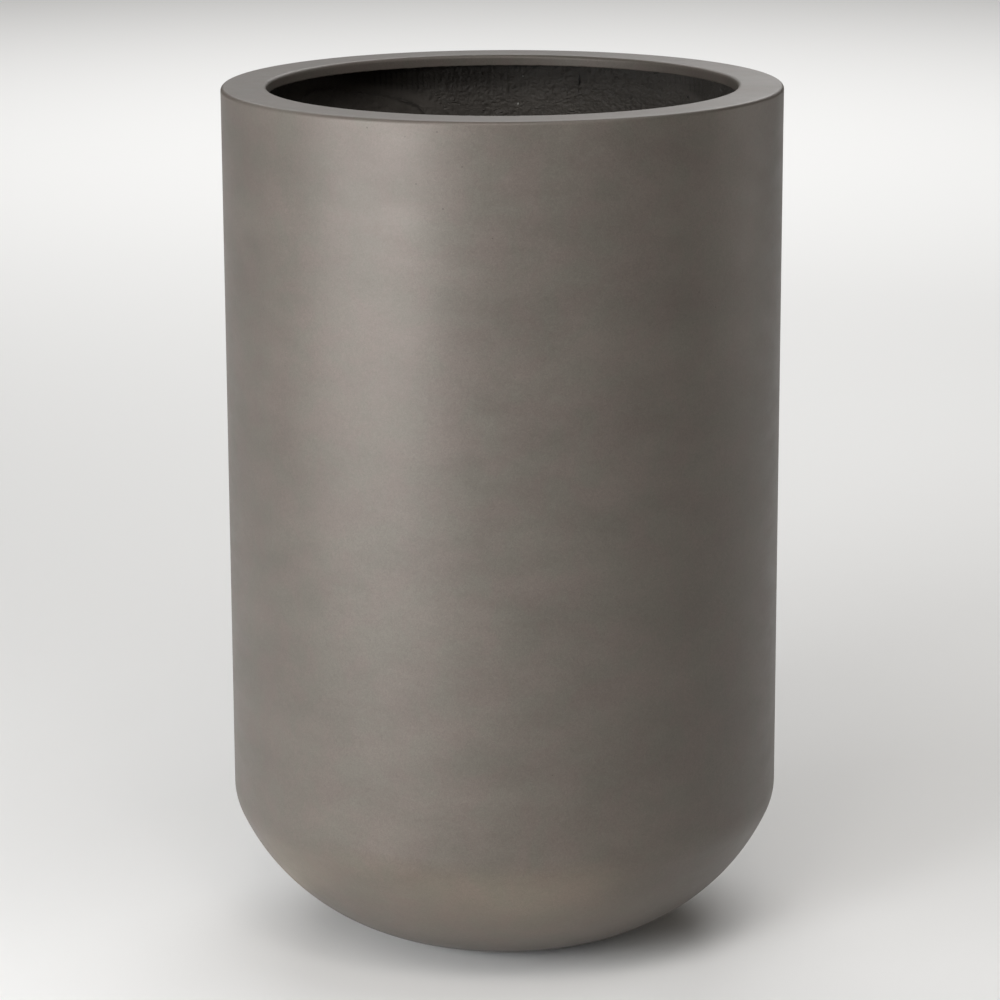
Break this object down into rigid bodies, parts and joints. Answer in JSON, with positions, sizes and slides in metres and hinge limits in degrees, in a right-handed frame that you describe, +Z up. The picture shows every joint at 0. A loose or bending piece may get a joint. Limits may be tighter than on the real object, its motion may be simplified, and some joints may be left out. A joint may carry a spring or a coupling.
{
  "type": "tall fiberglass planter",
  "caption": "Tall round floor planter: straight wall, bowl-shaped bottom, flat rim with a turned-down lip, and a pull-out drain plug.",
  "frame": {"origin": "on the planter's axis, on the surface that its foot pads stand on", "axes": "+Z up along the planter's axis, out of its mouth; +Y towards the far side of the wall as the picture sees it, +X to the picture's right"},
  "size_m": [0.4319, 0.432, 0.673],
  "materials": {
    "shell_coat": "satin",
    "glass_laminate": "matte",
    "bonding_paste": "matte",
    "black_rubber": "matte"
  },
  "bodies": {
    "planter": {"outer_shell": "shell_coat", "inner_lining": "glass_laminate", "rim_ring": "shell_coat", "rim_bead": "bonding_paste", "floor_doubler": "glass_laminate", "mat_patch": "glass_laminate", "foot_pads": "black_rubber"},
    "plug": {"drain_plug": "black_rubber"}
  },
  "joints": [
    {"name": "plug_lift", "type": "slide", "parent": "planter", "child": "plug", "axis": [0, 0, 1], "range_m": [0, 0.7]}
  ]
}
